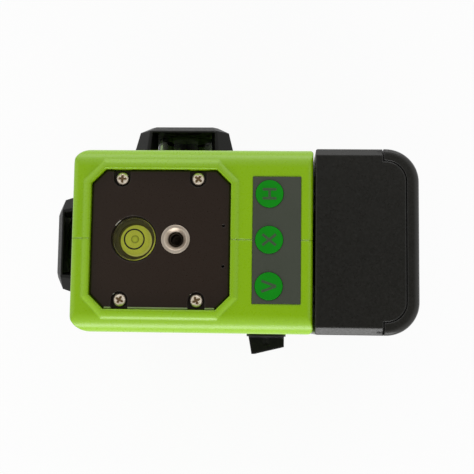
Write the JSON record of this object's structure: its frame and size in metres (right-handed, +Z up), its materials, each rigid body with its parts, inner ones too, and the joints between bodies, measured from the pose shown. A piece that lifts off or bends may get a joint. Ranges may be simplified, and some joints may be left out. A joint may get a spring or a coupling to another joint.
{
  "type": "multi-plane line laser level",
  "caption": "Self-levelling line laser level: green case, gimballed pendulum with cone-mirror laser heads behind black windows, key panel, lock lever and slide-off battery.",
  "frame": {"origin": "on the plumb axis through both tripod threads, at the sole face the level stands on", "axes": "+X along the case to the battery pack, +Y to the side window, +Z up out of the top tripod thread"},
  "size_m": [0.1581, 0.1026, 0.1052],
  "materials": {
    "green_shell": "moulded lime green ABS, satin",
    "black_shell": "moulded black ABS, satin",
    "anodised_plate": "black anodised aluminium, fine blasted",
    "screw_steel": "nickel plated steel",
    "nickel": "turned, nickel plated",
    "window_glass": "clear glass tube",
    "vial_acrylic": "clear acrylic",
    "vial_fluid": "tinted level fluid",
    "label_film": "printed grey film, matt",
    "key_film": "printed green key, satin",
    "board": "green solder mask",
    "chip_black": "epoxy package",
    "cast_alloy": "die cast, tumbled",
    "brass_turned": "turned brass",
    "copper_plate": "rolled copper sheet",
    "mirror_cone": "polished cone",
    "pad_rubber": "moulded rubber",
    "cell_sleeve": "shrink sleeved cell"
  },
  "bodies": {
    "housing": {"case_left": "green_shell", "case_right": "green_shell", "case_screws": "screw_steel", "top_plate": "anodised_plate", "plate_screws": "screw_steel", "thread_insert": "nickel", "vial_body": "vial_acrylic", "vial_liquid": "vial_fluid", "keypad_label": "label_film", "key_board": "board", "key_switches": "screw_steel", "board_screws": "screw_steel", "main_board": "board", "board_chips": "chip_black", "chassis": "cast_alloy", "outer_bearings": "screw_steel", "front_window_frame": "black_shell", "front_window_glass": "window_glass", "side_window_frame": "black_shell", "side_window_glass": "window_glass", "base_frame": "black_shell", "base_window_glass": "window_glass", "base_insert": "brass_turned", "base_screws": "screw_steel", "damping_plate": "copper_plate", "contact_carrier": "black_shell", "contact_blades": "brass_turned", "lock_bush": "brass_turned"},
    "gimbal": {"gimbal_ring": "cast_alloy", "ring_pins": "screw_steel", "inner_bearings": "screw_steel"},
    "pendulum": {"pendulum_block": "cast_alloy", "pendulum_pins": "screw_steel", "front_barrel_tube": "brass_turned", "side_barrel_tube": "brass_turned", "down_barrel_tube": "brass_turned", "laser_diodes": "screw_steel", "collimators": "window_glass", "cone_holders": "window_glass", "cone_mirrors": "mirror_cone", "balance_weights": "brass_turned", "damper_disc": "cast_alloy", "damper_magnets": "nickel"},
    "lock": {"lock_lever": "black_shell", "lock_shaft": "screw_steel"},
    "plunger": {"lock_plunger": "cast_alloy", "lock_pad": "pad_rubber"},
    "h_key": {"key_h": "key_film"},
    "mode_key": {"key_mode": "key_film"},
    "v_key": {"key_v": "key_film"},
    "pack": {"pack_body": "black_shell", "pack_end_band": "black_shell", "battery_cells": "cell_sleeve", "cell_straps": "screw_steel", "pack_board": "board", "pack_contacts": "brass_turned", "charge_socket": "screw_steel"},
    "latch": {"latch_button": "black_shell"}
  },
  "joints": [
    {"name": "gimbal_pitch", "type": "hinge", "parent": "housing", "child": "gimbal", "pos_m": [0, 0, 0.084], "axis": [0, 1, 0], "range_deg": [-3, 3]},
    {"name": "pendulum_roll", "type": "hinge", "parent": "gimbal", "child": "pendulum", "pos_m": [0, 0, 0.084], "axis": [1, 0, 0], "range_deg": [-3, 3]},
    {"name": "lock_turn", "type": "hinge", "parent": "housing", "child": "lock", "pos_m": [0.0379, -0.039, 0.059], "axis": [0, -1, 0], "range_deg": [0, 60]},
    {"name": "lock_slide", "type": "slide", "parent": "housing", "child": "plunger", "axis": [-1, 0, 0], "range_m": [0, 0.005]},
    {"name": "h_key_press", "type": "slide", "parent": "housing", "child": "h_key", "axis": [0, 0, -1], "range_m": [0, 0.0004], "stiffness_N_per_m": 600},
    {"name": "mode_key_press", "type": "slide", "parent": "housing", "child": "mode_key", "axis": [0, 0, -1], "range_m": [0, 0.0004], "stiffness_N_per_m": 600},
    {"name": "v_key_press", "type": "slide", "parent": "housing", "child": "v_key", "axis": [0, 0, -1], "range_m": [0, 0.0004], "stiffness_N_per_m": 600},
    {"name": "pack_slide", "type": "slide", "parent": "housing", "child": "pack", "axis": [1, 0, 0], "range_m": [0, 0.05]},
    {"name": "latch_press", "type": "slide", "parent": "pack", "child": "latch", "axis": [0, 0, 1], "range_m": [0, 0.002], "stiffness_N_per_m": 400}
  ],
  "couplings": [
    {"joint": "lock_turn", "follows": "lock_slide", "rad_per_m": 209.44}
  ]
}
